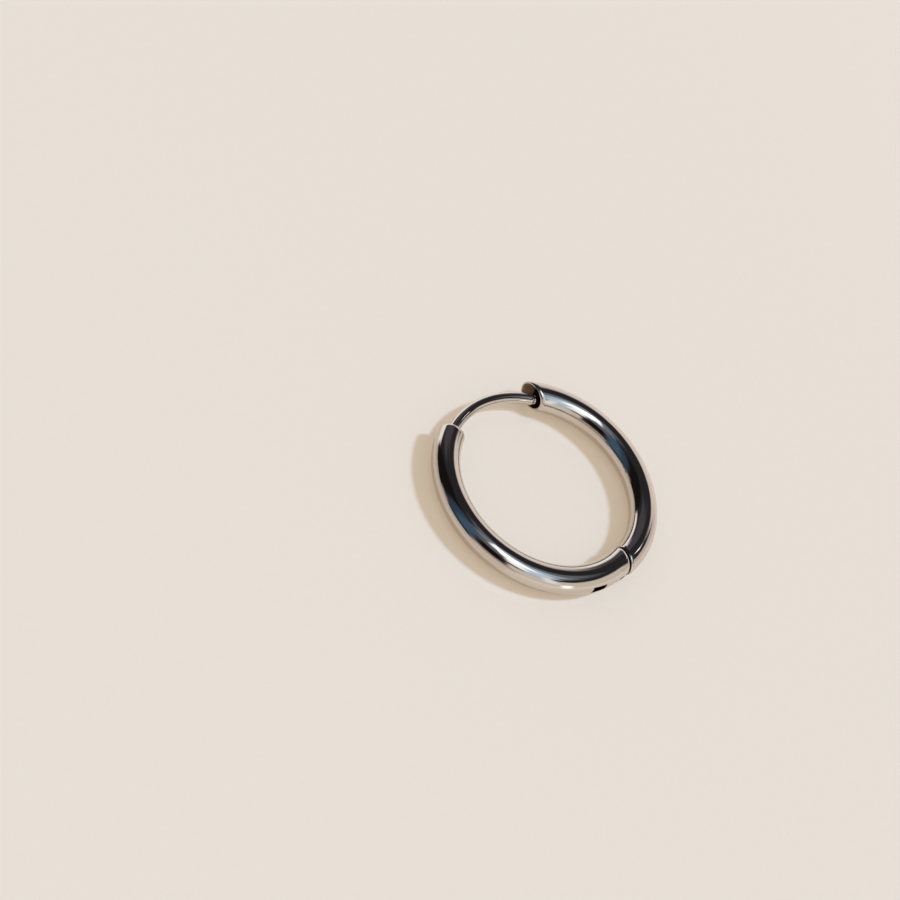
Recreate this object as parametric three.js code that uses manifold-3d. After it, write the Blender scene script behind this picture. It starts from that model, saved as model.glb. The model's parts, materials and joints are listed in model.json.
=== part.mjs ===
// A hinged hoop earring of polished steel tube, in millimetres.
// The hoop lies on its side: X and Y span its plane and Z points up from the surface.
// The origin is on the surface, under the middle of the long arc's circle.
// Angles are in degrees about that middle, from +X towards +Y.

import * as THREE from 'three';
import { mergeVertices } from 'three/addons/utils/BufferGeometryUtils.js';
import Module from 'manifold-3d';

const wasm = await Module();
wasm.setup();

// The hoop and its tube
const HOOP_RADIUS = 9.1; // middle of the hoop to the middle of the tube
const TUBE_DIAMETER = 2.5;
const TUBE_WALL = 0.2;
const ROOT_ANGLE = 193.3; // square end of the long tube, where the ear wire comes out
const HINGE_ANGLE = -3.4; // slanted cut between the long and the short tube
const HINGE_SLANT = 20; // the cut's outer end lies nearer to the long tube
const MOUTH_ANGLE = 137; // open end of the short tube, with the hoop closed
const MOUTH_SLANT = -28; // the outer wall reaches further over the ear wire
const SHOWN_OPENING = 4.4; // the hoop is shown ajar by this turn about its pin

// The ear wire
const WIRE_DIAMETER = 1.05;
const WIRE_IN_MOUTH = 1.24; // how far the full wire reaches in, along the tube, hoop closed
const NECK_DIAMETER = 0.55;
const NECK_LENGTH = 0.2;
const NOSE_DIAMETER = 0.8;
const NOSE_LENGTH = 0.24;
const ROOT_PLUG_LENGTH = 2.2;
const ROOT_PLUG_RECESS = 0.15;

// The hinge: a plate with an eye, fixed in the short tube, between two cheeks in the long one
const PIN_DIAMETER = 0.44;
const PIN_FROM_CUT = 2; // along the tube's middle line
const PIN_BELOW_WALL = 0.55; // from the inside of the tube's outer wall
const EYE_WALL = 0.14;
const TONGUE_THICKNESS = 0.5;
const ARM_WIDTH = 1.05;
const ARM_OUTER_EDGE = 0.1; // nearer to the outer wall than the pin
const TONGUE_PLUG_LENGTH = 1.8;
const FORK_BEHIND_PIN = 0.95;
const SWING_SLOT_AHEAD = 0.5; // the slot that lets the arm swing out starts this far past the pin
const WINDOW_LENGTH = 1.45; // a slot through the outer wall behind the fork
const WINDOW_WIDTH = 0.9;
const WINDOW_BEHIND_FORK = 0.16;

// The catch in the mouth, which the wire's nose enters
const CATCH_LENGTH = 1.1;
const CATCH_ROOM = 0.2; // round the nose, which comes in at a slant
const CATCH_BEHIND_TIP = 0.12; // from the end of the full wire to the catch, hoop closed

// Clearances
const CUT_GAP = 0.08; // between the two tubes at the hinge, hoop closed
const SEAT_GAP = 0.03; // round a piece that is pressed into a tube
const SLIDE_GAP = 0.05; // beside a piece that turns
const FACE_RECESS = 0.06; // pressed pieces stay this far behind a tube's cut face

// Facets
const TUBE_SIDES = 24;
const WIRE_SIDES = 16;
const PIN_SIDES = 16;
const STEP_ANGLE = 4.5;

// Sizes that follow
const TUBE_RADIUS = TUBE_DIAMETER / 2;
const BORE_DIAMETER = TUBE_DIAMETER - 2 * TUBE_WALL;
const PRESSED_DIAMETER = BORE_DIAMETER - 2 * SEAT_GAP;
const OUTER_RADIUS = HOOP_RADIUS + TUBE_RADIUS;
const SLOT_WIDTH = TONGUE_THICKNESS + 2 * SLIDE_GAP;
const EYE_DIAMETER = PIN_DIAMETER + 2 * (SLIDE_GAP + EYE_WALL);
const PIN_OUTWARD = BORE_DIAMETER / 2 - PIN_BELOW_WALL; // from the tube's middle line
const PIN_ANGLE = HINGE_ANGLE - arcDegrees(PIN_FROM_CUT);
const PIN_PLACE = polar(HOOP_RADIUS + PIN_OUTWARD, PIN_ANGLE);
const FORK_BACK_ANGLE = PIN_ANGLE - arcDegrees(FORK_BEHIND_PIN);
const WIRE_TIP_ANGLE = MOUTH_ANGLE - arcDegrees(WIRE_IN_MOUTH);
const PAST_CUT = arcDegrees(TUBE_DIAMETER); // how far a sweep runs on before a slanted cut
const CUTTER_SIZE = 2 * TUBE_DIAMETER; // cutting blocks reach past the tube on every side

const STEEL = { color: 0xb9b5b0, roughness: 0.08, metalness: 1 };
const DARK_STEEL = { color: 0x77726c, roughness: 0.3, metalness: 1 };

function radians(degrees) {
  return THREE.MathUtils.degToRad(degrees);
}

// The angle of the hoop that a length along a circle spans
function arcDegrees(length, radius = HOOP_RADIUS) {
  return THREE.MathUtils.radToDeg(length / radius);
}

function polar(radius, angle) {
  return new THREE.Vector3(radius * Math.cos(radians(angle)), radius * Math.sin(radians(angle)), 0);
}

// A stretch of a circle about the hoop's middle
class HoopArc extends THREE.Curve {
  constructor(radius, fromAngle, toAngle) {
    super();
    Object.assign(this, { radius, fromAngle, toAngle });
  }

  getPoint(t, target = new THREE.Vector3()) {
    return target.copy(polar(this.radius, THREE.MathUtils.lerp(this.fromAngle, this.toAngle, t)));
  }
}

// A many-sided round outline whose flat sides touch the circle, with one side level underneath
function roundOutline(diameter, sides, outline = new THREE.Shape()) {
  const cornerRadius = diameter / 2 / Math.cos(Math.PI / sides);
  const corners = [];
  for (let i = 0; i < sides; i++) {
    const turn = ((i + 0.5) * 2 * Math.PI) / sides;
    corners.push(new THREE.Vector2(cornerRadius * Math.cos(turn), cornerRadius * Math.sin(turn)));
  }
  return outline.setFromPoints(corners);
}

// A flat bar's outline: its height above and below the hoop's plane, and its width across the tube
function barOutline(height, width) {
  const corners = [[-1, -1], [1, -1], [1, 1], [-1, 1]];
  return new THREE.Shape(corners.map(([x, y]) => new THREE.Vector2((x * height) / 2, (y * width) / 2)));
}

function solidOf(geometry) {
  const bare = geometry.clone();
  bare.deleteAttribute('normal');
  bare.deleteAttribute('uv');
  const merged = mergeVertices(bare, 1e-5);
  const vertProperties = Float32Array.from(merged.attributes.position.array);
  const triVerts = Uint32Array.from(merged.index.array);
  return new wasm.Manifold(new wasm.Mesh({ numProp: 3, vertProperties, triVerts }));
}

function sweep(outline, arc) {
  const steps = Math.ceil(Math.abs(arc.toAngle - arc.fromAngle) / STEP_ANGLE);
  return solidOf(new THREE.ExtrudeGeometry(outline, { steps, extrudePath: arc }));
}

function tubeSweep(fromAngle, toAngle) {
  const outline = roundOutline(TUBE_DIAMETER, TUBE_SIDES);
  outline.holes.push(roundOutline(BORE_DIAMETER, TUBE_SIDES, new THREE.Path()));
  return sweep(outline, new HoopArc(HOOP_RADIUS, fromAngle, toAngle));
}

function pressedSweep(fromAngle, toAngle) {
  return sweep(roundOutline(PRESSED_DIAMETER, TUBE_SIDES), new HoopArc(HOOP_RADIUS, fromAngle, toAngle));
}

// A block that covers all of the tube past a slanted cut: side 1 towards larger angles, -1 back
function blockPast(angle, slant, side, distance = 0) {
  const block = new THREE.BoxGeometry(CUTTER_SIZE, CUTTER_SIZE, CUTTER_SIZE);
  block.translate(side * (CUTTER_SIZE / 2 + distance), 0, 0);
  block.rotateZ(radians(angle + 90 - slant));
  const middle = polar(HOOP_RADIUS, angle);
  return solidOf(block.translate(middle.x, middle.y, 0));
}

// A block that opens a slot of some width in a tube's outer wall between two angles
function slotBlock(fromAngle, toAngle, width) {
  const length = 2 * OUTER_RADIUS * Math.sin(radians(toAngle - fromAngle) / 2);
  const wallDrop = BORE_DIAMETER / 2 - halfHeight(BORE_DIAMETER, width / 2);
  const block = new THREE.BoxGeometry(2 * (2 * TUBE_WALL + wallDrop), length, width);
  block.translate(OUTER_RADIUS, 0, 0);
  return solidOf(block.rotateZ(radians((fromAngle + toAngle) / 2)));
}

// A round solid about the pin's axis
function pinCylinder(diameter, height) {
  const cornerRadius = diameter / 2 / Math.cos(Math.PI / PIN_SIDES);
  const cylinder = new THREE.CylinderGeometry(cornerRadius, cornerRadius, height, PIN_SIDES);
  return solidOf(cylinder.rotateX(Math.PI / 2).translate(PIN_PLACE.x, PIN_PLACE.y, 0));
}

// The half height of a round piece at a distance across it
function halfHeight(diameter, across) {
  return Math.sqrt((diameter / 2) ** 2 - across ** 2);
}

function longTube() {
  const swingSlotBack = PIN_ANGLE + arcDegrees(SWING_SLOT_AHEAD, OUTER_RADIUS);
  const windowFront = FORK_BACK_ANGLE - arcDegrees(WINDOW_BEHIND_FORK, OUTER_RADIUS);
  const windowBack = windowFront - arcDegrees(WINDOW_LENGTH, OUTER_RADIUS);
  return tubeSweep(ROOT_ANGLE, 360 + HINGE_ANGLE + PAST_CUT)
    .subtract(blockPast(HINGE_ANGLE, HINGE_SLANT, 1))
    .subtract(slotBlock(swingSlotBack, HINGE_ANGLE, SLOT_WIDTH))
    .subtract(slotBlock(windowBack, windowFront, WINDOW_WIDTH));
}

// The neck and the rounded nose past the end of the full wire
function wireNose() {
  const overlap = NECK_LENGTH;
  const noseStart = NECK_LENGTH;
  const noseEnd = NECK_LENGTH + NOSE_LENGTH;
  const rounding = NOSE_DIAMETER / 4;
  const profile = [
    [0, -overlap],
    [NECK_DIAMETER / 2, -overlap],
    [NECK_DIAMETER / 2, noseStart],
    [NOSE_DIAMETER / 2, noseStart],
    [NOSE_DIAMETER / 2, noseEnd - rounding / 2],
    [NOSE_DIAMETER / 2 - rounding, noseEnd],
    [0, noseEnd],
  ];
  const nose = new THREE.LatheGeometry(profile.map(([x, y]) => new THREE.Vector2(x, y)), WIRE_SIDES);
  const tip = polar(HOOP_RADIUS, WIRE_TIP_ANGLE);
  nose.rotateZ(radians(WIRE_TIP_ANGLE + 180));
  return solidOf(nose.translate(tip.x, tip.y, 0));
}

function earWire() {
  const plugEnd = ROOT_ANGLE + arcDegrees(ROOT_PLUG_RECESS);
  const plugStart = plugEnd + arcDegrees(ROOT_PLUG_LENGTH);
  const wireArc = new HoopArc(HOOP_RADIUS, plugEnd + STEP_ANGLE, WIRE_TIP_ANGLE);
  return sweep(roundOutline(WIRE_DIAMETER, WIRE_SIDES), wireArc)
    .add(pressedSweep(plugEnd, plugStart))
    .add(wireNose());
}

function hingeFork() {
  const slotBack = PIN_ANGLE - arcDegrees(EYE_DIAMETER / 2 + 2 * SLIDE_GAP);
  const slot = new HoopArc(HOOP_RADIUS, slotBack, HINGE_ANGLE + PAST_CUT);
  return pressedSweep(FORK_BACK_ANGLE, HINGE_ANGLE + PAST_CUT)
    .subtract(blockPast(HINGE_ANGLE, HINGE_SLANT, 1, -FACE_RECESS))
    .subtract(sweep(barOutline(SLOT_WIDTH, TUBE_DIAMETER), slot))
    .subtract(pinCylinder(PIN_DIAMETER + 2 * SEAT_GAP, TUBE_DIAMETER));
}

function hingePin() {
  const farEdge = PIN_OUTWARD + PIN_DIAMETER / 2;
  return pinCylinder(PIN_DIAMETER, 2 * halfHeight(PRESSED_DIAMETER, farEdge));
}

function shortTube() {
  return tubeSweep(HINGE_ANGLE - PAST_CUT, MOUTH_ANGLE + PAST_CUT)
    .subtract(blockPast(HINGE_ANGLE, HINGE_SLANT, -1, -CUT_GAP))
    .subtract(blockPast(MOUTH_ANGLE, MOUTH_SLANT, 1));
}

function hingeTongue() {
  const plugEnd = HINGE_ANGLE + arcDegrees(TONGUE_PLUG_LENGTH);
  const armRadius = HOOP_RADIUS + PIN_OUTWARD + ARM_OUTER_EDGE - ARM_WIDTH / 2;
  const arm = sweep(barOutline(TONGUE_THICKNESS, ARM_WIDTH), new HoopArc(armRadius, PIN_ANGLE, plugEnd));
  return pressedSweep(HINGE_ANGLE - PAST_CUT, plugEnd)
    .subtract(blockPast(HINGE_ANGLE, HINGE_SLANT, -1, -CUT_GAP - FACE_RECESS))
    .add(arm)
    .add(pinCylinder(EYE_DIAMETER, TONGUE_THICKNESS))
    .subtract(pinCylinder(PIN_DIAMETER + 2 * SLIDE_GAP, TUBE_DIAMETER));
}

function mouthCatch() {
  const catchStart = WIRE_TIP_ANGLE - arcDegrees(CATCH_BEHIND_TIP);
  const outline = roundOutline(PRESSED_DIAMETER, TUBE_SIDES);
  outline.holes.push(roundOutline(NOSE_DIAMETER + 2 * CATCH_ROOM, TUBE_SIDES, new THREE.Path()));
  return sweep(outline, new HoopArc(HOOP_RADIUS, catchStart - arcDegrees(CATCH_LENGTH), catchStart));
}

function piece(name, solid, finish) {
  const { vertProperties, triVerts } = solid.getMesh();
  const geometry = new THREE.BufferGeometry();
  geometry.setAttribute('position', new THREE.BufferAttribute(Float32Array.from(vertProperties), 3));
  geometry.setIndex(new THREE.BufferAttribute(Uint32Array.from(triVerts), 1));
  geometry.computeVertexNormals();
  const mesh = new THREE.Mesh(geometry, new THREE.MeshStandardMaterial(finish));
  mesh.name = name;
  return mesh;
}

const longArc = new THREE.Group();
longArc.add(
  piece('long_tube', longTube(), STEEL),
  piece('ear_wire', earWire(), STEEL),
  piece('hinge_fork', hingeFork(), DARK_STEEL),
  piece('hinge_pin', hingePin(), DARK_STEEL),
);

// The short arc is modelled closed, and turned about the pin to where it is shown
const shortArc = new THREE.Group();
shortArc.position.copy(PIN_PLACE).negate();
shortArc.add(
  piece('short_tube', shortTube(), STEEL),
  piece('hinge_tongue', hingeTongue(), DARK_STEEL),
  piece('mouth_catch', mouthCatch(), DARK_STEEL),
);
const hinge = new THREE.Group();
hinge.position.copy(PIN_PLACE);
hinge.rotation.z = -radians(SHOWN_OPENING);
hinge.add(shortArc);

const hoopEarring = new THREE.Group();
hoopEarring.position.z = TUBE_RADIUS;
hoopEarring.add(longArc, hinge);

export default hoopEarring;
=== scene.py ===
# %% [markdown]
# A hinged hoop earring of mirror-polished steel tube, lying on its side on a pale board.
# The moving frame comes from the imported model. Each piece here is a finely made copy of one
# of its parts, so every piece rides on a body of the frame and stays inside its size.

import json
import math

import bmesh
import bpy
from mathutils import Matrix, Vector


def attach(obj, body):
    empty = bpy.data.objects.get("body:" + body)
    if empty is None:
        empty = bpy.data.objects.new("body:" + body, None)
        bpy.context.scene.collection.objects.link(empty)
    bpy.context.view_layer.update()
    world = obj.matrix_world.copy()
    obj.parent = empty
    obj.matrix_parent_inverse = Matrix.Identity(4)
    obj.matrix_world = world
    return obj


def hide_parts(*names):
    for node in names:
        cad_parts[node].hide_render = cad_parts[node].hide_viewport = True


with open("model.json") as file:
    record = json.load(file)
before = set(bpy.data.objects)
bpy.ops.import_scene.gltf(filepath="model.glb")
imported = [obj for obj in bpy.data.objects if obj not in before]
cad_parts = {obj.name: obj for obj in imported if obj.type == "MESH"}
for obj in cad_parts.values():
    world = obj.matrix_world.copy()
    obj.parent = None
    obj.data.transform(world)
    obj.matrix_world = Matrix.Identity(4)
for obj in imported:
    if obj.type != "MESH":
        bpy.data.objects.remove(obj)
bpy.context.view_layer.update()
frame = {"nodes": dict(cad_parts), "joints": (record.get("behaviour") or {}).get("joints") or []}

# %% Sizes of the hoop
MM = 0.001
HOOP_RADIUS = 9.1 * MM
TUBE_RADIUS = 1.25 * MM
TUBE_WALL = 0.2 * MM
BORE_RADIUS = TUBE_RADIUS - TUBE_WALL
PRESSED_GAP = 0.03 * MM
PLUG_RADIUS = BORE_RADIUS - PRESSED_GAP
OUTER = HOOP_RADIUS + TUBE_RADIUS
WIRE_RADIUS = 0.525 * MM
MIDDLE = Vector((0, 0, TUBE_RADIUS))
hinge_joint = frame["joints"][0]
PIN = Vector(hinge_joint["pos_m"])
OPENING = math.radians(-hinge_joint["range_deg"][0])
print("pin in mm", [round(v / MM, 3) for v in PIN], "opening", round(math.degrees(OPENING), 2))

# %% [markdown]
# The camera sits where the photograph was taken from, 47 degrees above the hoop, turned by 41
# degrees about its own line of sight, and with a long lens. So the round hoop shows as an
# ellipse that leans to the right. The camera is aimed a little beside the hoop, because in
# the photograph the hoop isn't in the middle.


# %% Camera
def add_camera(elevation, roll, distance, lens, aside):
    """Adds a camera that sees the hoop's middle aside = (right, up) of the picture's centre."""
    back = Vector((0, -math.cos(elevation), math.sin(elevation)))
    level = Vector((1, 0, 0))
    rise = back.cross(level)
    right = level * math.cos(roll) + rise * math.sin(roll)
    place = MIDDLE + back * distance
    aim = MIDDLE - right * aside[0] - back.cross(right) * aside[1]
    back = (place - aim).normalized()
    right = (right - back * right.dot(back)).normalized()
    turn = Matrix((right, back.cross(right), back)).transposed()
    data = bpy.data.cameras.new("photo_camera")
    data.lens = lens
    camera = bpy.data.objects.new("photo_camera", data)
    bpy.context.collection.objects.link(camera)
    camera.matrix_world = Matrix.Translation(place) @ turn.to_4x4()
    return camera


PIXEL = HOOP_RADIUS / 106.74  # the photograph shows the hoop's radius as so many pixels
CAMERA_HEIGHT = math.radians(46.9)
CAMERA_ROLL = math.radians(40.63)
CAMERA_DISTANCE = 3333 * PIXEL
CAMERA_LENS = 133.3  # mm of focal length on a 36 mm sensor
HOOP_ASIDE = (92.4 * PIXEL, -37.5 * PIXEL)
camera = add_camera(CAMERA_HEIGHT, CAMERA_ROLL, CAMERA_DISTANCE, CAMERA_LENS, HOOP_ASIDE)
bpy.context.scene.camera = camera
bpy.context.scene.view_settings.view_transform = "Standard"
print("camera at mm", [round(v / MM, 1) for v in camera.location])

# %% [markdown]
# The board that the hoop lies on is a pale warm card with a satin sheen. It is scenery, not part of the
# earring. It is far wider than the picture, because the polished steel mirrors it out to the horizon.

# %% Board under the hoop
bpy.ops.object.select_all(action="DESELECT")
bpy.ops.mesh.primitive_plane_add(size=8)
board = bpy.context.object
board.name = "pale_board"
print("board", board.name, [round(v, 1) for v in board.dimensions])

# %% [markdown]
# Everything is modelled with Blender's own tools. Three things come up again and again: work on one object
# alone, pick vertices, edges or faces by their place, and turn something about an upright axis. Without a
# window both spin and rotate turn clockwise for a positive angle, so one helper each hides that.


# %% Helpers for picking
def work_on(obj):
    """Makes obj the only selected object, and the active one."""
    bpy.ops.object.select_all(action="DESELECT")
    obj.select_set(True)
    bpy.context.view_layer.objects.active = obj


def pick(kind, test):
    """In edit mode, selects only the VERT, EDGE or FACE elements that pass the test."""
    bpy.ops.mesh.select_mode(type=kind)
    bpy.ops.mesh.select_all(action="DESELECT")
    mesh = bmesh.from_edit_mesh(bpy.context.object.data)
    for element in {"VERT": mesh.verts, "EDGE": mesh.edges, "FACE": mesh.faces}[kind]:
        if test(element):
            element.select_set(True)
    mesh.select_flush_mode()
    bmesh.update_edit_mesh(bpy.context.object.data)


def edge_middle(edge):
    return (edge.verts[0].co + edge.verts[1].co) / 2


def on_circle(angle, radius=HOOP_RADIUS):
    """The point at an angle, in degrees, of a circle about the hoop's middle."""
    turn = math.radians(angle)
    return MIDDLE + Vector((radius * math.cos(turn), radius * math.sin(turn), 0))


def along(length, radius=HOOP_RADIUS):
    """The degrees of the hoop that a length spans."""
    return math.degrees(length / radius)


print("a 1 mm stretch of the hoop spans", round(along(MM), 2), "degrees")

# %% [markdown]
# A real tube hoop starts as a straight drawn tube that is bent round a drum. Here a round
# outline stands across the hoop and is spun about the hoop's middle, which gives the same
# shape. Two outlines, one inside the other, give the outer wall and the bore.


# %% A tube bent to the hoop's circle
STEP = 1.5
SIDES = 96


def ring_outline(angle, radius):
    """Adds a round outline that stands across the hoop at an angle."""
    bpy.ops.mesh.primitive_circle_add(
        vertices=SIDES,
        radius=radius,
        location=on_circle(angle),
        rotation=(math.pi / 2, 0, math.radians(angle)),
    )


def spin_on(degrees):
    """Spins the selected outline about the hoop's middle, towards larger angles if positive."""
    steps = math.ceil(abs(degrees) / STEP)
    bpy.ops.mesh.spin(steps=steps, angle=-math.radians(degrees), center=MIDDLE, axis=(0, 0, 1))


def off_centre(point):
    """How far a point lies from the circle down the middle of the tube."""
    return math.hypot(math.hypot(point.x, point.y) - HOOP_RADIUS, point.z - TUBE_RADIUS)


def bent_tube(name, radii, start, end):
    """Adds a tube between two angles with its ends open, and a bore if a second radius is given."""
    bpy.ops.object.select_all(action="DESELECT")
    ring_outline(start, radii[0])
    bpy.context.object.name = name
    bpy.ops.object.transform_apply(location=True, rotation=True, scale=True)
    bpy.ops.object.mode_set(mode="EDIT")
    for radius in radii[1:]:
        ring_outline(start, radius)
    bpy.ops.mesh.select_all(action="SELECT")
    spin_on(end - start)
    if radii[1:]:
        between = (radii[0] + radii[1]) / 2
        pick("FACE", lambda face: off_centre(face.calc_center_median()) < between)
        bpy.ops.mesh.flip_normals()
        bpy.ops.mesh.select_all(action="SELECT")
    return bpy.context.object


print("walls of", SIDES, "sides, a ring of faces every", STEP, "degrees")

# %% [markdown]
# The ends of the tubes are sawn, some of them at a slant. A bisect with one side cleared is
# that saw cut. The outer wall and the bore are cut one at a time, because the outer wall is
# cut a little shorter to make room for its rounded rim.

# %% Saw cuts
NEAR = 1e-7
ON_CUT = 0.002 * MM
PAST_CUT = 0.004 * MM


def cut_plane(angle, slant, offset=0.0):
    """The middle of a saw cut, its normal and the tube's direction, both towards larger angles."""
    across = math.radians(angle + 90 - slant)
    onward = math.radians(angle + 90)
    normal = Vector((math.cos(across), math.sin(across), 0))
    tube = Vector((math.cos(onward), math.sin(onward), 0))
    return on_circle(angle) + tube * offset / tube.dot(normal), normal, tube


def moved(plane, distance):
    """The same cut, moved along the tube by a distance counted across the cut."""
    middle, normal, tube = plane
    return middle + tube * distance / tube.dot(normal), normal, tube


def near_end(plane, point):
    """Whether a point is at this end of the tube, not across the hoop."""
    return (point - plane[0]).length < 2 * TUBE_RADIUS


def is_end_cut(plane, point):
    """Whether a point is at this end and lies on the saw cut."""
    return near_end(plane, point) and abs((point - plane[0]).dot(plane[1])) < ON_CUT


def is_wall_here(plane, point, outer):
    """Whether a point is at this end, on the outer wall or else on the bore."""
    return near_end(plane, point) and (off_centre(point) > BORE_RADIUS + TUBE_WALL / 2) == outer


def is_beyond(plane, keep, point):
    """Whether a point is on the side that a saw cut takes away."""
    return (point - plane[0]).dot(plane[1]) * keep < -PAST_CUT


def saw(plane, keep, outer):
    """Cuts one wall of the tube and keeps the side of smaller (-1) or larger (1) angles."""
    pick("FACE", lambda face: is_wall_here(plane, face.calc_center_median(), outer))
    bpy.ops.mesh.bisect(
        plane_co=plane[0], plane_no=plane[1], clear_outer=keep < 0, clear_inner=keep > 0, threshold=NEAR
    )
    pick("VERT", lambda vert: is_wall_here(plane, vert.co, outer) and is_beyond(plane, keep, vert.co))
    bpy.ops.mesh.delete(type="VERT")


print("an end cut is found within", round(ON_CUT / MM, 3), "mm")

# %% [markdown]
# The maker's polishing wheel rounds the rims of the ends, further along the tube than across
# its thin wall. The outer wall's open edge is rolled over in the same way, by extruding it and
# drawing it in step by step. The rounded rim draws the bright line round each end. A thin
# line of faces behind it keeps its shading from spreading over the tube. The outer edge and
# the bore's edge are then bridged.

# %% Rounded rims
RIM_ROUNDING = 0.16 * MM  # across the wall
RIM_LENGTH = 0.32 * MM  # along the tube
RIM_STEPS = 6
CALM_LINE = 0.04 * MM


def pick_open_edge(plane):
    """Selects the open edges of the tube that lie on a cut."""
    pick("EDGE", lambda edge: edge.is_boundary and is_end_cut(plane, edge_middle(edge)))


def roll_edge(plane, keep):
    """Extrudes the outer wall's open edge into a long quarter round that ends on the cut."""
    start = moved(plane, keep * RIM_LENGTH)
    pick_open_edge(start)
    middle, radius = start[0], TUBE_RADIUS
    for step in range(1, RIM_STEPS + 1):
        turn = math.pi / 2 * step / RIM_STEPS
        new_middle = moved(start, -keep * RIM_LENGTH * math.sin(turn))[0]
        new_radius = TUBE_RADIUS - RIM_ROUNDING * (1 - math.cos(turn))
        bpy.ops.mesh.extrude_region_move(TRANSFORM_OT_translate={"value": new_middle - middle})
        bpy.ops.transform.resize(value=(new_radius / radius,) * 3, center_override=new_middle)
        middle, radius = new_middle, new_radius


def close_rim(plane):
    """Bridges the outer edge and the bore's edge that lie on a cut."""
    pick_open_edge(plane)
    bpy.ops.mesh.bridge_edge_loops()


def cut_end(plane, keep):
    """Saws off an end of the tube and gives it a rounded rim."""
    saw(plane, keep, outer=False)
    rounded = moved(plane, keep * RIM_LENGTH)
    saw(rounded, keep, outer=True)
    calm = moved(rounded, keep * CALM_LINE)
    pick("FACE", lambda face: is_wall_here(plane, face.calc_center_median(), outer=True))
    bpy.ops.mesh.bisect(plane_co=calm[0], plane_no=calm[1], threshold=NEAR)
    roll_edge(plane, keep)
    close_rim(plane)


print("rims rounded over", round(RIM_LENGTH / MM, 2), "mm in", RIM_STEPS, "steps")

# %% [markdown]
# No edge of a worn piece is truly sharp. Once a piece has its form, doubled points are merged,
# all faces are turned outwards, and a fine bevel breaks each sharp edge, so that it catches
# a thread of light. The rest is shaded smooth.


# %% Finishing a mesh
SHARP_ANGLE = math.radians(50)
BEVEL_STEPS = 3


def finish_normals():
    """Merges doubled points and turns all faces outwards."""
    bpy.ops.mesh.select_all(action="SELECT")
    bpy.ops.mesh.remove_doubles(threshold=NEAR)
    bpy.ops.mesh.normals_make_consistent(inside=False)


def is_sharp(edge):
    return len(edge.link_faces) == 2 and edge.calc_face_angle(0) > SHARP_ANGLE


def soften_edges(width):
    """Bevels the sharp edges."""
    pick("EDGE", is_sharp)
    bpy.ops.mesh.bevel(
        offset=width, segments=BEVEL_STEPS, profile=0.5, affect="EDGES", clamp_overlap=True
    )


def leave_edit(obj):
    """Ends a piece: leaves edit mode and shades it smooth except at its sharp edges."""
    bpy.ops.object.mode_set(mode="OBJECT")
    work_on(obj)
    bpy.ops.object.shade_smooth_by_angle(angle=SHARP_ANGLE)
    triangles = sum(len(face.vertices) - 2 for face in obj.data.polygons)
    print(obj.name, len(obj.data.polygons), "faces,", triangles, "triangles")


print("edges sharper than", round(math.degrees(SHARP_ANGLE)), "degrees are bevelled")

# %% [markdown]
# Slots are milled through the outer wall. A block is stood where the mill goes, deep enough
# to clear the curve of the bore at the slot's sides. A Boolean takes it out of the tube, and
# then the block is deleted.


# %% Milled slots
def mill_slot(obj, start, end, width):
    """Opens a slot through the tube's outer wall between two angles."""
    middle = (start + end) / 2
    length = 2 * OUTER * math.sin(math.radians(end - start) / 2)
    drop = BORE_RADIUS - math.sqrt(BORE_RADIUS**2 - (width / 2) ** 2)
    bpy.ops.object.select_all(action="DESELECT")
    bpy.ops.mesh.primitive_cube_add(
        size=1, location=on_circle(middle, OUTER), rotation=(0, 0, math.radians(middle))
    )
    block = bpy.context.object
    block.scale = (2 * (2 * TUBE_WALL + drop), length, width)
    bpy.ops.object.transform_apply(location=True, rotation=True, scale=True)
    work_on(obj)
    cut = obj.modifiers.new("mill", "BOOLEAN")
    cut.object = block
    cut.operation = "DIFFERENCE"
    cut.solver = "EXACT"
    bpy.ops.object.modifier_apply(modifier=cut.name)
    bpy.data.objects.remove(block)
    print("slot from", round(start, 1), "to", round(end, 1), "degrees,", round(width / MM, 2), "mm wide")


print("a slot goes through a wall of", round(TUBE_WALL / MM, 2), "mm")

# %% [markdown]
# The long tube is a bit more than half of the hoop. It has a square end where the ear wire
# comes out, and a slanted end at the hinge. The slot that opens into the slanted end lets
# the hinge's arm swing out, and the small window behind it is where the maker pressed the
# hinge in.

# %% Long tube
ROOT_ANGLE = 193.3
HINGE_ANGLE = -3.4
HINGE_SLANT = 20
PIN_ANGLE = math.degrees(math.atan2(PIN.y, PIN.x))
SLOT_AHEAD_OF_PIN = 0.5 * MM
SWING_SLOT = (PIN_ANGLE + along(SLOT_AHEAD_OF_PIN, OUTER), HINGE_ANGLE)
SWING_SLOT_WIDTH = 0.6 * MM
FORK_BEHIND_PIN = 0.95 * MM
WINDOW_BEHIND_FORK = 0.16 * MM
WINDOW_LENGTH = 1.45 * MM
WINDOW_WIDTH = 0.9 * MM
SAW_WASTE = 3  # degrees of tube that the square cut takes off
EDGE_BREAK = 0.03 * MM

window_end = PIN_ANGLE - along(FORK_BEHIND_PIN) - along(WINDOW_BEHIND_FORK, OUTER)
window_start = window_end - along(WINDOW_LENGTH, OUTER)

root_cut = cut_plane(ROOT_ANGLE, 0)
hinge_cut = cut_plane(HINGE_ANGLE, HINGE_SLANT)
long_start = ROOT_ANGLE - SAW_WASTE
long_end = 360 + HINGE_ANGLE + along(TUBE_RADIUS)
long_tube = bent_tube("long_tube_polished", (TUBE_RADIUS, BORE_RADIUS), long_start, long_end)
cut_end(root_cut, 1)
cut_end(hinge_cut, -1)
finish_normals()
bpy.ops.object.mode_set(mode="OBJECT")
mill_slot(long_tube, *SWING_SLOT, SWING_SLOT_WIDTH)
mill_slot(long_tube, window_start, window_end, WINDOW_WIDTH)
bpy.ops.object.mode_set(mode="EDIT")
soften_edges(EDGE_BREAK)
leave_edit(long_tube)

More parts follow.
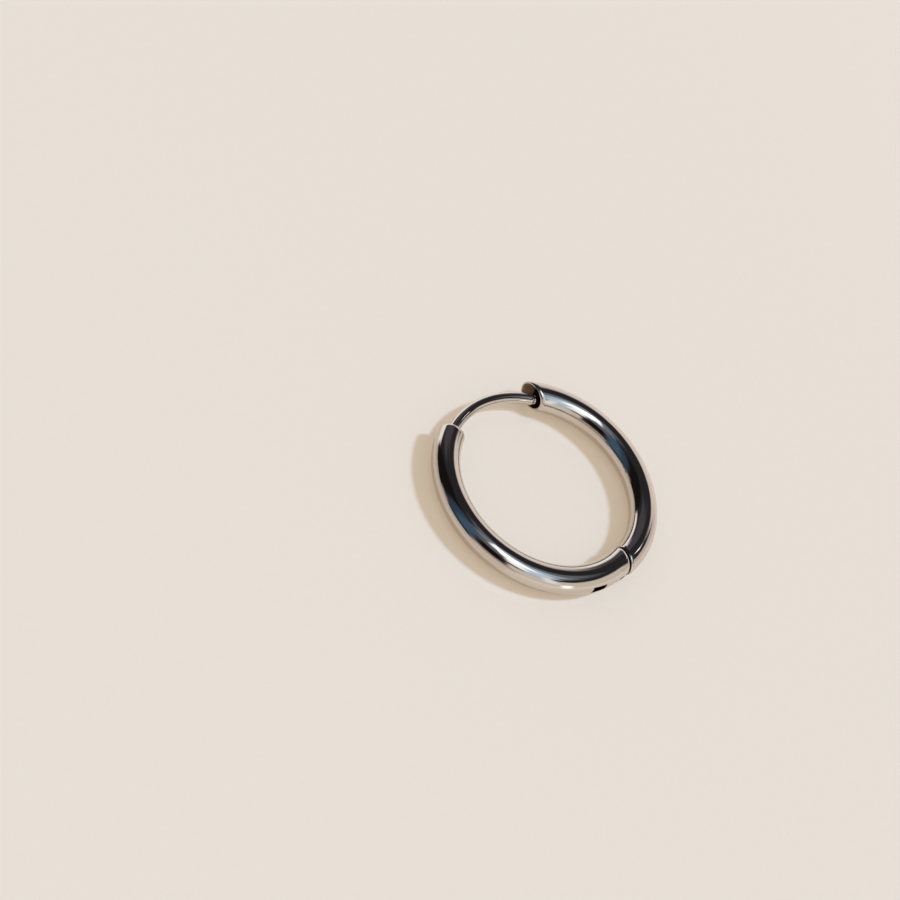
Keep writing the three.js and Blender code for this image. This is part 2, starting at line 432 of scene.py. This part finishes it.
# %% [markdown]
# The short tube closes the hoop. Its mouth is sawn at a slant so that the outer wall reaches
# further over the ear wire. It is modelled with the hoop closed, then turned about the pin
# to where the photograph shows it, a little ajar.

# %% Short tube
MOUTH_ANGLE = 137
MOUTH_SLANT = -28
CUT_GAP = 0.08 * MM


def swing_open(obj):
    """Turns a piece of the short arc about the pin, from closed to where it is shown."""
    work_on(obj)
    bpy.ops.transform.rotate(value=OPENING, orient_axis="Z", center_override=PIN)
    bpy.ops.object.transform_apply(location=True, rotation=True, scale=True)


short_cut = cut_plane(HINGE_ANGLE, HINGE_SLANT, CUT_GAP)
mouth_cut = cut_plane(MOUTH_ANGLE, MOUTH_SLANT)
short_start = HINGE_ANGLE - along(TUBE_RADIUS)
short_end = MOUTH_ANGLE + along(TUBE_RADIUS)
short_tube = bent_tube("short_tube_polished", (TUBE_RADIUS, BORE_RADIUS), short_start, short_end)
cut_end(short_cut, 1)
cut_end(mouth_cut, -1)
finish_normals()
soften_edges(EDGE_BREAK)
leave_edit(short_tube)
swing_open(short_tube)

# %% [markdown]
# The ear wire is one drawn wire with a plug on its root, which is pressed into the long
# tube, and a turned neck and nose on its tip, which snap into the mouth. It is spun in one
# go: the plug's outline first, then the same edge drawn in to the wire's width, spun on to
# the tip, and drawn in and out again there, step by step.

# %% Ear wire
TIP_DEPTH = 1.24 * MM
PLUG_RECESS = 0.15 * MM
WIRE_TIP_ANGLE = MOUTH_ANGLE - along(TIP_DEPTH)
PLUG_END = ROOT_ANGLE + along(PLUG_RECESS)
PLUG_LENGTH = 2.2 * MM
PLUG_START = PLUG_END + along(PLUG_LENGTH)
TIP_PROFILE = (
    # how far on in mm, and the radius there in mm: the rounded end, the neck, then the nose
    (0.05, 0.505),
    (0.09, 0.45),
    (0.1, 0.24),
    (0.23, 0.24),
    (0.24, 0.4),
    (0.35, 0.4),
    (0.44, 0.2),
)


def draw_edge(angle, reach, radius, new_reach, new_radius):
    """Extrudes the open edge that lies reach past an angle, and gives it a new reach and radius."""
    turn = math.radians(angle)
    forward = Vector((math.sin(turn), -math.cos(turn), 0))
    bpy.ops.mesh.extrude_region_move(TRANSFORM_OT_translate={"value": forward * (new_reach - reach)})
    bpy.ops.transform.resize(
        value=(new_radius / radius,) * 3, center_override=on_circle(angle) + forward * new_reach
    )


ear_wire = bent_tube("ear_wire_polished", (PLUG_RADIUS,), PLUG_START, PLUG_END)
draw_edge(PLUG_END, 0, PLUG_RADIUS, 0, WIRE_RADIUS)
spin_on(WIRE_TIP_ANGLE - PLUG_END)
reach, radius = 0.0, WIRE_RADIUS
for new_reach, new_radius in TIP_PROFILE:
    draw_edge(WIRE_TIP_ANGLE, reach, radius, new_reach * MM, new_radius * MM)
    reach, radius = new_reach * MM, new_radius * MM
bpy.ops.mesh.edge_face_add()
pick("EDGE", lambda edge: edge.is_boundary)
bpy.ops.mesh.edge_face_add()
finish_normals()
soften_edges(EDGE_BREAK)
leave_edit(ear_wire)

# %% [markdown]
# Behind the mouth sits the catch, a plain collar pressed into the tube. Its lips are rounded
# so that the wire's nose slides in.

# %% Catch in the mouth
CATCH_BORE = 0.6 * MM
CATCH_LENGTH = 1.1 * MM
CATCH_LIP = 0.08 * MM
TIP_TO_CATCH = 0.12 * MM
CATCH_FRONT = WIRE_TIP_ANGLE - along(TIP_TO_CATCH)
CATCH_BACK = CATCH_FRONT - along(CATCH_LENGTH)

catch = bent_tube("mouth_catch_collar", (PLUG_RADIUS, CATCH_BORE), CATCH_BACK, CATCH_FRONT)
for angle in (CATCH_BACK, CATCH_FRONT):
    close_rim(cut_plane(angle, 0))
finish_normals()
soften_edges(CATCH_LIP)
leave_edit(catch)
swing_open(catch)

# %% [markdown]
# Each fine piece takes the place of the part of the frame that it was made from, and rides on
# the same body, so the long arc stays still and the short arc swings about the pin.

# %% Pieces on their bodies
REPLACED = {
    "long_tube": (long_tube, "long_arc", "polished_steel"),
    "ear_wire": (ear_wire, "long_arc", "polished_steel"),
    "short_tube": (short_tube, "short_arc", "polished_steel"),
    "mouth_catch": (catch, "short_arc", "plain_steel"),
}
for node_name, (piece, body, slot) in REPLACED.items():
    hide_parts(node_name)
    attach(piece, body)
print("replaced", sorted(REPLACED))

# %% [markdown]
# Materials and the room are made of nodes. One helper adds a node, sets it and links it, and
# one turns a colour as a designer writes it into the linear numbers that Blender adds up.


# %% Helpers for nodes and colours
def add_node(tree, kind, sockets=(), **settings):
    """Adds a node with its settings. A socket takes a value or another node's output."""
    made = tree.nodes.new(kind)
    for name, value in settings.items():
        setattr(made, name, value)
    for name, value in dict(sockets).items():
        if isinstance(value, bpy.types.NodeSocket):
            tree.links.new(value, made.inputs[name])
        else:
            made.inputs[name].default_value = value
    return made


def linear(hex_colour):
    """The linear colour, with alpha, of an sRGB colour such as '#D3C8BE'."""
    parts = [int(hex_colour[i : i + 2], 16) / 255 for i in (1, 3, 5)]
    return (*[c / 12.92 if c <= 0.04045 else ((c + 0.055) / 1.055) ** 2.4 for c in parts], 1.0)


print("a mid grey of #808080 is", round(linear("#808080")[0], 3), "in linear light")

# %% [markdown]
# Polished steel has next to no look of its own: it is a warm-tinted mirror, and what shows on
# it is the room. A photograph of a studio could be wrapped round the scene, but a painted room
# needs no file and can be set patch by patch. Each way out of the scene is turned into a
# compass bearing, counted from the camera's side towards the right, and a height above the
# horizon.

# %% Bearings and heights
world = bpy.data.worlds.new("studio_room")
bpy.context.scene.world = world
world.use_nodes = True
room = world.node_tree
room.nodes.clear()
looking = add_node(room, "ShaderNodeTexCoord").outputs["Generated"]
way = add_node(room, "ShaderNodeSeparateXYZ", {"Vector": looking}).outputs
forward = add_node(room, "ShaderNodeMath", {0: way["Y"], 1: -1.0}, operation="MULTIPLY").outputs[0]
bearing = add_node(room, "ShaderNodeMath", {0: way["X"], 1: forward}, operation="ARCTAN2").outputs[0]
height = add_node(room, "ShaderNodeMath", {0: way["Z"]}, operation="ARCSINE").outputs[0]
print("world", world.name, "with", len(room.nodes), "nodes")

# %% [markdown]
# The room is built up of large soft patches of light, one laid over the other. A smooth ramp
# on each of a patch's four edges makes it fade out. The colours are written as they look on
# the steel, so the steel's own tint is divided out of them.

# %% A soft patch of light
STEEL_TINT = "#D4C9BF"


def before_steel(hex_colour, strength):
    """The light that looks like hex_colour, so many times as bright, once the steel mirrors it."""
    return (*[strength * c / tint for c, tint in zip(linear(hex_colour)[:3], linear(STEEL_TINT))], 1.0)


def patch(under, colour, strength, left_right, low_high, soft):
    """Lays a soft-edged patch of light, its edges in degrees, over what is under it."""
    shape = 1.0
    for angle, edges in ((bearing, left_right), (height, low_high)):
        for edge, inward in zip(edges, (1, -1)):
            outside, inside = (math.radians(edge + side * inward * soft / 2) for side in (-1, 1))
            limits = {"Value": angle, "From Min": outside, "From Max": inside}
            ramp = add_node(room, "ShaderNodeMapRange", limits, interpolation_type="SMOOTHSTEP").outputs[0]
            shape = add_node(room, "ShaderNodeMath", {0: shape, 1: ramp}, operation="MULTIPLY").outputs[0]
    colours = {0: shape, 6: under, 7: before_steel(colour, strength)}
    return add_node(room, "ShaderNodeMix", colours, data_type="RGBA").outputs[2]


print("a white patch is", [round(c, 2) for c in before_steel("#FFFFFF", 1.0)[:3]], "before the steel")

# %% [markdown]
# The bands on the steel tell what stood round it: a pale wall and a tall bright window on the
# right, and a dim room on the left. The tube mirrors all of it in bands that run along it, so
# a patch's heights set how wide a band is, and its bearings where along the hoop it begins and
# ends.

# %% Room that the steel mirrors
PATCHES = (
    # colour on the steel, strength, bearings, heights, width of the soft edge
    ("#6B727A", 1.0, (-200, 200), (82, 120), 20),  # ceiling
    ("#B9BDC1", 1.0, (66, 152), (78, 120), 14),  # ceiling above the right-hand wall
    ("#5C6065", 1.0, (70, 142), (52, 84), 18),  # shadow under that ceiling
    ("#9CA6AD", 1.0, (66, 104), (54, 82), 18),  # grey light in the shadow
    ("#BDB0A2", 1.0, (20, 130), (-95, 33), 8),  # right-hand wall and board
    ("#B4A69A", 1.0, (120, 160), (-95, 22), 8),  # board behind, to the right
    ("#CBBBAE", 1.0, (156, 200), (-95, 36), 12),  # back wall and board
    ("#CDBBAF", 1.0, (-200, -168), (-95, 34), 16),  # back wall, round to the left
    ("#C9BDB5", 1.0, (-178, -136), (-95, 23), 12),  # board behind, to the left
    ("#E2D7CC", 1.0, (-160, -102), (-95, 14), 8),  # board to the left
    ("#3F3B3F", 1.0, (-162, -112), (24, 52), 12),  # dark curtain behind, to the left
    ("#141110", 1.0, (-100, -58), (-40, 64), 12),  # black curtain to the left
    ("#6C7079", 1.0, (-42, -2), (64, 92), 16),  # dim ceiling before the curtain
    ("#2D3A48", 1.0, (-56, -14), (8, 66), 14),  # blue dusk to the front left
    ("#3C4D5D", 1.0, (-40, -18), (14, 64), 12),  # brighter middle of the dusk
    ("#7B6A5D", 1.0, (-66, -52), (-30, 9), 8),  # brown edge of the board
    ("#9F8E7E", 1.0, (-16, 30), (-30, 12), 14),  # board to the front
    ("#5A5658", 1.0, (-20, 26), (46, 72), 14),  # grey screen above the camera
    ("#140E0C", 1.0, (-10, 13), (20, 46), 8),  # dark lens and its stand
    ("#A5ABB1", 1.0, (36, 56), (28, 58), 12),  # window's side, front right
    ("#D6D3D0", 1.0, (54, 66), (14, 48), 10),  # pale frame of the window
    ("#B2BEC7", 1.0, (44, 78), (44, 66), 10),  # bluish pane of the window
    ("#EFE9E4", 1.0, (20, 44), (42, 74), 10),  # sunlit pane of the window
    ("#F4F5F6", 1.0, (-6, 70), (68, 100), 12),  # skylight's rim
    ("#FAFAFA", 1.3, (12, 68), (62, 100), 12),  # skylight
    ("#F9F2E8", 1.25, (68, 76), (-12, 12), 7),  # small lamp on the right, low down
    ("#FAF4EC", 1.5, (150, 154), (37, 41), 2),  # gleam behind the hinge
)
ROOM_DARK = "#252223"
light = before_steel(ROOM_DARK, 1.0)
for colour, strength, left_right, low_high, soft in PATCHES:
    light = patch(light, colour, strength, left_right, low_high, soft)
print("room of", len(PATCHES), "patches,", len(room.nodes), "nodes")

# %% [markdown]
# What falls on the board is the same warm light from all round, so that the board stays even,
# and the camera sees plain paper beyond the board.

# %% Fill light and paper
PAPER = "#E8E0D7"
WARM_FILL = "#B4AA9C"
ray = add_node(room, "ShaderNodeLightPath").outputs
on_board = add_node(room, "ShaderNodeMath", {0: ray["Diffuse Depth"], 1: 0.5}, operation="GREATER_THAN")
room_or_fill = {0: on_board.outputs[0], 6: light, 7: linear(WARM_FILL)}
lit = add_node(room, "ShaderNodeMix", room_or_fill, data_type="RGBA").outputs[2]
lit_or_paper = {0: ray["Is Camera Ray"], 6: lit, 7: linear(PAPER)}
shown = add_node(room, "ShaderNodeMix", lit_or_paper, data_type="RGBA").outputs[2]
background = add_node(room, "ShaderNodeBackground", {"Color": shown})
add_node(room, "ShaderNodeOutputWorld", {"Surface": background.outputs[0]})
print("fill", WARM_FILL, "and paper", PAPER)

# %% [markdown]
# The key light is a plain large lamp from behind the hoop, off to the right, whose only task
# is the soft tan shadow on the board, so the steel doesn't mirror it.

# %% Key light
KEY_BEARING = math.radians(42)
KEY_HEIGHT = math.radians(50)
KEY_WIDTH = math.radians(9)
KEY_STRENGTH = 1.68
KEY_COLOUR = "#C4E0FF"
key_data = bpy.data.lights.new("key_light", "SUN")
key_data.energy = KEY_STRENGTH
key_data.angle = KEY_WIDTH
key_data.color = linear(KEY_COLOUR)[:3]
key = bpy.data.objects.new("key_light", key_data)
bpy.context.collection.objects.link(key)
key.rotation_euler = (math.pi / 2 - KEY_HEIGHT, 0, math.pi - KEY_BEARING)
key.visible_glossy = False
print("key light of", KEY_STRENGTH, "W/m2,", round(math.degrees(KEY_WIDTH)), "degrees wide")

# %% [markdown]
# The board is coated card. A faint glow is painted into it as painted light, standing in for the light
# that the steel throws back onto it, so the shadow stays pale right up to the steel. The coat's faint
# mirror shows the hoop's underside where they meet.
# Paper fibres are finer than a pixel, so their mottle is drawn coarser than it is.


# %% Board finish
def new_material(name):
    material = bpy.data.materials.new(name)
    material.use_nodes = True
    material.node_tree.nodes.clear()
    return material, material.node_tree


# painted light: a warm glow in the board that lightens its shadow next to the steel
PAINTED_GLOW = "#897D6E"
FIBRE = 0.6 * MM
coated_card, tree = new_material("coated_card_satin")
place = add_node(tree, "ShaderNodeTexCoord").outputs["Object"]
fibre = add_node(tree, "ShaderNodeTexNoise", {"Vector": place, "Scale": 1 / FIBRE, "Detail": 3.0})
shades = {0: fibre.outputs["Fac"], 6: linear("#E8E1D8"), 7: linear("#ECE5DC")}
tone = add_node(tree, "ShaderNodeMix", shades, data_type="RGBA").outputs[2]
card = {
    "Base Color": tone,
    "Roughness": 0.14,
    "IOR": 1.45,
    "Emission Color": linear(PAINTED_GLOW),
    "Emission Strength": 1.0,
}
shader = add_node(tree, "ShaderNodeBsdfPrincipled", card)
add_node(tree, "ShaderNodeOutputMaterial", {"Surface": shader.outputs[0]})
board.data.materials.append(coated_card)
print("board finish", coated_card.name)

# %% [markdown]
# A drawn tube keeps faint lines that run along it. A plain pattern in space would cross the
# tube at some places and follow it at others, so the pattern is laid out by the bearing round
# the hoop and the turn round the tube, both counted in millimetres.


# %% Pattern that follows the tube
def hoop_pattern(tree, centre):
    """Pattern coordinates in mm: X along a tube whose circle is about centre, Y round the tube."""
    place = add_node(tree, "ShaderNodeTexCoord").outputs["Object"]
    from_centre = {"Vector": place, "Location": [-v for v in centre]}
    centred = add_node(tree, "ShaderNodeMapping", from_centre).outputs[0]
    parts = add_node(tree, "ShaderNodeSeparateXYZ", {"Vector": centred}).outputs
    level = add_node(tree, "ShaderNodeCombineXYZ", {"X": parts["X"], "Y": parts["Y"]}).outputs[0]
    reach = add_node(tree, "ShaderNodeVectorMath", {0: level}, operation="LENGTH").outputs["Value"]
    outward = add_node(tree, "ShaderNodeMath", {0: reach, 1: HOOP_RADIUS}, operation="SUBTRACT").outputs[0]
    turns = []
    for rise, run, radius in ((parts["Y"], parts["X"], HOOP_RADIUS), (parts["Z"], outward, TUBE_RADIUS)):
        angle = add_node(tree, "ShaderNodeMath", {0: rise, 1: run}, operation="ARCTAN2").outputs[0]
        arc = {0: angle, 1: radius / MM}
        turns.append(add_node(tree, "ShaderNodeMath", arc, operation="MULTIPLY").outputs[0])
    return add_node(tree, "ShaderNodeCombineXYZ", {"X": turns[0], "Y": turns[1]}).outputs[0]


print("once round the hoop is", round(2 * math.pi * HOOP_RADIUS / MM, 1), "mm")

# %% [markdown]
# Mirror-polished stainless steel is drawn, then polished on a wheel. The drawing leaves fine
# lines and the wheel a shallow wave. The eye sees them as a slight waver along the edges of
# what the steel mirrors, and as a little haze. Real polishing lines are finer than a pixel,
# so they are drawn 0.12 mm wide. The two arcs bend about different centres once the hoop is
# ajar, so each has its own copy of the finish.

# %% Polished steel
LINES = (3.0, 0.12, 4.0)  # how many mm long and wide, and how much detail
WAVE = (1.6, 0.8, 2.0)


def polished_steel(name, centre):
    """Mirror-polished stainless steel on a tube or wire whose circle is about centre."""
    material, tree = new_material(name)
    pattern = hoop_pattern(tree, centre)
    marks = []
    for along_mm, round_mm, detail in (LINES, WAVE):
        stretch = {"Vector": pattern, "Scale": (1 / along_mm, 1 / round_mm, 1)}
        place = add_node(tree, "ShaderNodeMapping", stretch).outputs[0]
        blotches = {"Vector": place, "Scale": 1.0, "Detail": detail}
        marks.append(add_node(tree, "ShaderNodeTexNoise", blotches).outputs[0])
    lines, wave = marks
    haze_limits = {"Value": lines, "From Min": 0.3, "From Max": 0.7, "To Min": 0.025, "To Max": 0.07}
    haze = add_node(tree, "ShaderNodeMapRange", haze_limits).outputs["Result"]
    shades = {0: wave, 6: linear("#D0C5BB"), 7: linear("#D8CEC4")}
    tone = add_node(tree, "ShaderNodeMix", shades, data_type="RGBA").outputs[2]
    fine = add_node(tree, "ShaderNodeBump", {"Height": lines, "Strength": 0.4, "Distance": 0.004 * MM})
    ripple = {"Height": wave, "Strength": 0.3, "Distance": 0.02 * MM, "Normal": fine.outputs[0]}
    broad = add_node(tree, "ShaderNodeBump", ripple).outputs[0]
    steel = {"Base Color": tone, "Metallic": 1.0, "Roughness": haze, "Normal": broad}
    shader = add_node(tree, "ShaderNodeBsdfPrincipled", steel)
    add_node(tree, "ShaderNodeOutputMaterial", {"Surface": shader.outputs[0]})
    return material


opened = Matrix.Rotation(-OPENING, 3, "Z")
short_centre = PIN + opened @ (MIDDLE - PIN)
steel_long = polished_steel("stainless_mirror_polished_long", MIDDLE)
steel_short = polished_steel("stainless_mirror_polished_short", short_centre)
print("the short arc's circle is about mm", [round(v / MM, 3) for v in short_centre])

# %% [markdown]
# Inside the tubes nobody polishes. The bore keeps the dull, dark brown skin of drawn steel, and its
# darkness is also painted shade for the dark inside of the tubes. The outer side of the mouth's bore is
# painted lighter, as painted light where light falls into the mouth. The two saw cuts that meet at the
# hinge take the same dark finish as painted shade, which draws the black line between the arcs. The
# pressed and turned pieces are plainly machined.
# A pixel is 0.09 mm wide here, so the grain of each is drawn coarser than it is.


# %% Unpolished steel, with painted shade and painted light in the bores
def plain_steel(name, hexes, metallic, roughness, grain):
    """Unpolished stainless steel with fine grain. Skin that isn't bare metal takes less metallic."""
    material, tree = new_material(name)
    place = add_node(tree, "ShaderNodeTexCoord").outputs["Object"]
    grains = {"Vector": place, "Scale": 1 / grain, "Detail": 3.0}
    speckle = add_node(tree, "ShaderNodeTexNoise", grains).outputs[0]
    shades = {0: speckle, 6: linear(hexes[0]), 7: linear(hexes[1])}
    tone = add_node(tree, "ShaderNodeMix", shades, data_type="RGBA").outputs[2]
    dull_limits = {"Value": speckle, "To Min": roughness[0], "To Max": roughness[1]}
    dull = add_node(tree, "ShaderNodeMapRange", dull_limits).outputs["Result"]
    grain_bump = {"Height": speckle, "Strength": 0.4, "Distance": 0.004 * MM}
    grit = add_node(tree, "ShaderNodeBump", grain_bump).outputs[0]
    steel = {"Base Color": tone, "Metallic": metallic, "Roughness": dull, "Normal": grit}
    shader = add_node(tree, "ShaderNodeBsdfPrincipled", steel)
    add_node(tree, "ShaderNodeOutputMaterial", {"Surface": shader.outputs[0]})
    return material


# dark skin of the bore, its darkness partly painted shade for the dark inside of the tubes
bore_skin_and_shade = plain_steel("stainless_drawn_bore_and_shade", ("#40362E", "#55483D"), 0.7, (0.3, 0.45), 0.09 * MM)
# painted light: the lit outer side of the mouth's bore, painted a lighter tan
mouth_painted_light = plain_steel("stainless_mouth_painted_light", ("#B59680", "#DCBDA2"), 0.35, (0.2, 0.32), 0.3 * MM)
machined = plain_steel("stainless_machined", ("#7D766F", "#968E86"), 1.0, (0.22, 0.34), 0.06 * MM)
print("unpolished", bore_skin_and_shade.name, mouth_painted_light.name, machined.name)

# %% [markdown]
# A mesh has a list of finishes, and each of its faces says which of them it has. The bore's
# faces are found by how far they are from the middle of the tube. A distance, not a box, works
# all the way round the bend.

# %% Finishes of the walls and bores
# painted light in the mouth: how far in it reaches, and how far to the bore's outer side
PAINTED_LIGHT_DEPTH = along(0.75 * MM)
PAINTED_LIGHT_SIDE = 0.2 * MM
SKIN_DEPTH = 0.01 * MM
long_tube.data.materials.append(steel_long)
long_tube.data.materials.append(bore_skin_and_shade)
short_tube.data.materials.append(steel_short)
short_tube.data.materials.append(bore_skin_and_shade)
short_tube.data.materials.append(mouth_painted_light)
ear_wire.data.materials.append(steel_long)
catch.data.materials.append(machined)


def bore_finishes_and_painted_light(obj, centre, painted_light_from=None):
    """Gives the bore's faces their dark finish, and its outer side painted light from an angle on."""
    count = 0
    for face in obj.data.polygons:
        offset = face.center - centre
        reach = math.hypot(offset.x, offset.y) - HOOP_RADIUS
        if math.hypot(reach, offset.z) < BORE_RADIUS + SKIN_DEPTH:
            angle = math.degrees(math.atan2(offset.y, offset.x))
            is_painted_light = painted_light_from is not None and angle > painted_light_from and reach > PAINTED_LIGHT_SIDE
            face.material_index = 2 if is_painted_light else 1
            count += 1
    print(obj.name, count, "faces of the bore")


bore_finishes_and_painted_light(long_tube, MIDDLE)
# the short tube's mouth gets painted light on the outer side of its bore
bore_finishes_and_painted_light(short_tube, short_centre, painted_light_from=MOUTH_ANGLE - PAINTED_LIGHT_DEPTH - math.degrees(OPENING))

# %% [markdown]
# The saw cuts at the hinge take the bore's dark finish as painted shade in the gap. The faces there are
# found by their place, and by their normal, which points across the cut.

# %% Painted shade on the saw cuts at the hinge
FACES_GAP = 0.8  # how squarely a face looks into the gap, 1 being straight


def shade_hinge_cut(obj, middle, normal):
    """Paints shade on the saw cut at the hinge with the bore's dark finish, where the faces look into the
    gap.
    """
    count = 0
    for face in obj.data.polygons:
        if (face.center - middle).length < 2 * TUBE_RADIUS and abs(face.normal.dot(normal)) > FACES_GAP:
            face.material_index = 1
            count += 1
    print(obj.name, count, "faces of the saw cut")


# painted shade: the saw cuts at the hinge take the bore's dark finish
shade_hinge_cut(long_tube, hinge_cut[0], hinge_cut[1])
shade_hinge_cut(short_tube, PIN + opened @ (short_cut[0] - PIN), opened @ short_cut[1])

# %% [markdown]
# The hinge's fork, pin and tongue are hidden in the tubes, so the plain solids of the frame do
# for them. Only their finish is changed, in the slots that they already have.

# %% Finish of the hidden hinge pieces
for node_name in ("hinge_fork", "hinge_pin", "hinge_tongue"):
    for material_slot in frame["nodes"][node_name].material_slots:
        material_slot.material = machined
    print(node_name, "finished as", machined.name)
